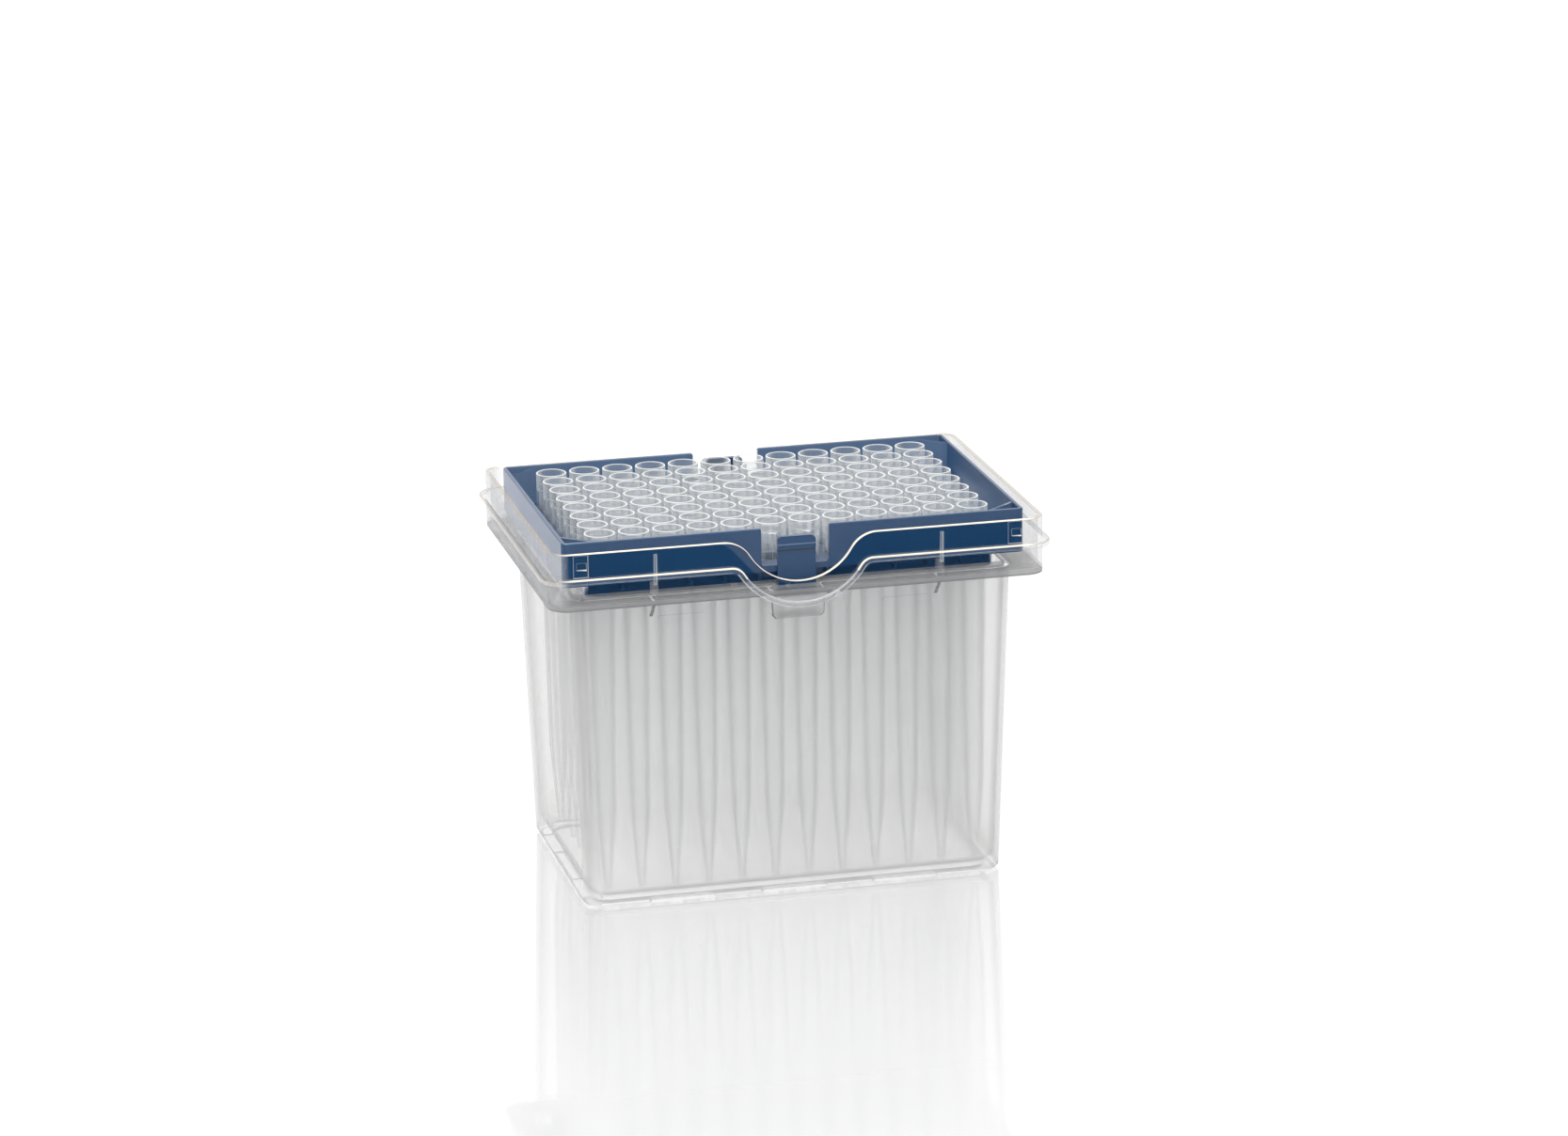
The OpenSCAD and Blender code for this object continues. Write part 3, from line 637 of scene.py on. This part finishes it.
def turned_tip(name):
    """A tip turned from its profile, as one closed skin."""
    radius, height = TIP_TURNS[0]
    bpy.ops.object.select_all(action="DESELECT")
    bpy.ops.mesh.primitive_circle_add(vertices=TIP_SIDES, radius=radius * MM,
                                      location=(0, 0, height * MM))
    tip = bpy.context.object
    tip.name = name
    bpy.ops.object.transform_apply(location=True, rotation=False, scale=False)
    bpy.ops.object.mode_set(mode="EDIT")
    bpy.ops.mesh.select_all(action="SELECT")
    for next_radius, next_height in TIP_TURNS[1:] + TIP_TURNS[:1]:
        bpy.ops.mesh.extrude_region_move(
            TRANSFORM_OT_translate={"value": (0, 0, (next_height - height) * MM)})
        grow = next_radius / radius
        bpy.ops.transform.resize(value=(grow, grow, 1), center_override=(0, 0, next_height * MM))
        radius, height = next_radius, next_height
    bpy.ops.mesh.select_all(action="SELECT")
    bpy.ops.mesh.remove_doubles(threshold=1e-6)
    bpy.ops.mesh.normals_make_consistent(inside=False)
    bpy.ops.object.mode_set(mode="OBJECT")
    return tip


def joined_or_cut(tip, name, operation, tool):
    """Joins a tool body to the tip or cuts it away, and clears the tool."""
    change = tip.modifiers.new(name, "BOOLEAN")
    change.operation = operation
    change.solver = "EXACT"
    change.object = tool
    start(tip)
    bpy.ops.object.modifier_apply(modifier=change.name)
    bpy.data.objects.remove(tool)


def add_fins(tip):
    """Eight support fins under the head, joined to the barrel."""
    for k in range(FIN_BARS):
        bpy.ops.object.select_all(action="DESELECT")
        bpy.ops.mesh.primitive_cube_add(size=1, location=(0, 0, (FIN_LOW + FIN_SIZE[2] / 2) * MM))
        bar = bpy.context.object
        bar.scale = [side * MM for side in FIN_SIZE]
        bar.rotation_euler = (0, 0, k * math.pi / FIN_BARS)
        bpy.ops.object.transform_apply()
        joined_or_cut(tip, "fins", "UNION", bar)


def bore_tip(tip):
    """Clears the fins out of the bore."""
    bpy.ops.object.select_all(action="DESELECT")
    bpy.ops.mesh.primitive_cone_add(
        vertices=TIP_SIDES, radius1=BORE_RADII[0] * MM, radius2=BORE_RADII[1] * MM,
        depth=BORE_LENGTH * MM, location=(0, 0, (BORE_LOW + BORE_LENGTH / 2) * MM))
    core = bpy.context.object
    bpy.ops.object.transform_apply()
    joined_or_cut(tip, "bore", "DIFFERENCE", core)


def add_tips(material):
    """One piece for each node of four tips, all copies of one tip."""
    tip = turned_tip("tip")
    add_fins(tip)
    bore_tip(tip)
    start(tip)
    bpy.ops.object.shade_smooth_by_angle(angle=SMOOTH_TIP)
    for node in sorted(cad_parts):
        if not node.startswith("tips_"):
            continue
        low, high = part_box(node)
        x = (low.x + high.x) / 2
        copies = []
        for k in range(TIPS_IN_NODE):
            y = low.y + HEAD_RADIUS * MM + k * TIP_PITCH * MM
            copy = bpy.data.objects.new("copy", tip.data.copy())
            bpy.context.scene.collection.objects.link(copy)
            copy.data.transform(Matrix.Translation((x, y, low.z)))
            copies.append(copy)
        bpy.ops.object.select_all(action="DESELECT")
        for copy in copies:
            copy.select_set(True)
        bpy.context.view_layer.objects.active = copies[0]
        bpy.ops.object.join()
        piece = bpy.context.object
        piece.name = "clear_" + node
        dress(piece, material)
        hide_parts(node)
        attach(piece, "tray")
    bpy.data.objects.remove(tip)


# ---------- stage ----------

FLOOR_SIZE = 12  # m
# The floor's reflection: its share beside the case, and how far off it has faded away.
REFLECTION = 0.62
REFLECTION_FADE = 260 * MM
# Half sizes of the case on the table, less the width over which the floor is dimmed under it.
CASE_FOOT = (54.3 * MM, 33.2 * MM, 0)
UNDER_FOOT = 2 * MM
REFLECTION_UNDER_FOOT = 0.2
WHITE_UNDER_FOOT, WHITE_BESIDE = 0.45, 0.85

# The way to the strongest light of the room, behind the case, to its left and above it.
LIGHT_FROM = (-0.45, 0.8, 0.4)
LIGHT_WEAKEST, LIGHT_STRONGEST = 0.55, 1.25

LAMP_PLACE = (-0.5, -0.4, 1.4)
LAMP_AIM = (0, 0, 0.05)
LAMP_SIZE = 1.2  # m
LAMP_POWER = 14  # W


def white_floor():
    """A plain white table: a mirror image of the case that fades away, and a soft shadow under its
    foot, so that it stands on something.
    """
    material, tree = new_material("plain_white_floor")
    place = add_node(tree, "TexCoord")
    foot = add_node(tree, "VectorMath", {"operation": "ABSOLUTE"}, {0: place.outputs["Object"]})
    beyond = add_node(tree, "VectorMath", {"operation": "SUBTRACT"}, {
        0: foot.outputs[0], 1: CASE_FOOT})
    outside = add_node(tree, "VectorMath", {"operation": "MAXIMUM"}, {
        0: beyond.outputs[0], 1: (0, 0, 0)})
    length = add_node(tree, "VectorMath", {"operation": "LENGTH"}, {0: outside.outputs[0]})
    away = length.outputs["Value"]
    mirror = product(tree, ramp(tree, away, 0, REFLECTION_FADE, REFLECTION, 0),
                     ramp(tree, away, 0, UNDER_FOOT, REFLECTION_UNDER_FOOT, 1))
    path = add_node(tree, "LightPath")
    seen = larger(tree, path.outputs["Is Camera Ray"], path.outputs["Is Transmission Ray"])
    # Looked at, the table is mostly plain white. For all other light it is matt.
    share = product(tree, seen, ramp(tree, away, 0, UNDER_FOOT, WHITE_UNDER_FOOT, WHITE_BESIDE))
    plain = add_node(tree, "Emission", None, {"Color": WHITE, "Strength": 1.06}).outputs[0]
    matt = add_node(tree, "BsdfDiffuse", None, {"Color": (0.93, 0.93, 0.93, 1)}).outputs[0]
    polish = add_node(tree, "BsdfGlossy", None, {"Color": WHITE, "Roughness": 0.04}).outputs[0]
    show(tree, blend_shader(tree, mirror, blend_shader(tree, share, matt, plain), polish))
    return material


def add_stage():
    bpy.ops.mesh.primitive_plane_add(size=FLOOR_SIZE)
    floor = bpy.context.object
    floor.name = "floor"
    dress(floor, white_floor())


def add_room_light():
    """White wherever the eye looks. For the pieces, light that is stronger from one side."""
    world = bpy.data.worlds.new("studio")
    bpy.context.scene.world = world
    world.use_nodes = True
    tree = world.node_tree
    tree.nodes.clear()
    way = add_node(tree, "TexCoord")
    toward = add_node(tree, "VectorMath", {"operation": "DOT_PRODUCT"}, {
        0: way.outputs["Generated"], 1: LIGHT_FROM}).outputs["Value"]
    strength = ramp(tree, toward, -1, 1, LIGHT_WEAKEST, LIGHT_STRONGEST)
    light = add_node(tree, "Background", None, {"Color": WHITE, "Strength": strength}).outputs[0]
    shown = add_node(tree, "Background", None, {"Color": WHITE, "Strength": 1.0}).outputs[0]
    path = add_node(tree, "LightPath")
    seen = larger(tree, path.outputs["Is Camera Ray"], path.outputs["Is Transmission Ray"])
    seen = larger(tree, seen, path.outputs["Is Glossy Ray"])
    add_node(tree, "OutputWorld", None, {"Surface": blend_shader(tree, seen, light, shown)})


def add_lamps():
    bpy.ops.object.light_add(type="AREA", location=LAMP_PLACE)
    lamp = bpy.context.object
    lamp.data.size = LAMP_SIZE
    lamp.data.energy = LAMP_POWER
    lamp.rotation_euler = (Vector(LAMP_AIM) - lamp.location).to_track_quat("-Z", "Y").to_euler()


# ---------- scene ----------

add_camera()
add_stage()
add_room_light()
add_lamps()
add_tips(clear_tip())
add_case()
add_tray()

scene = bpy.context.scene
scene.view_settings.view_transform = "Standard"
# Many clear walls stand behind one another here.
scene.cycles.transparent_max_bounces = 64
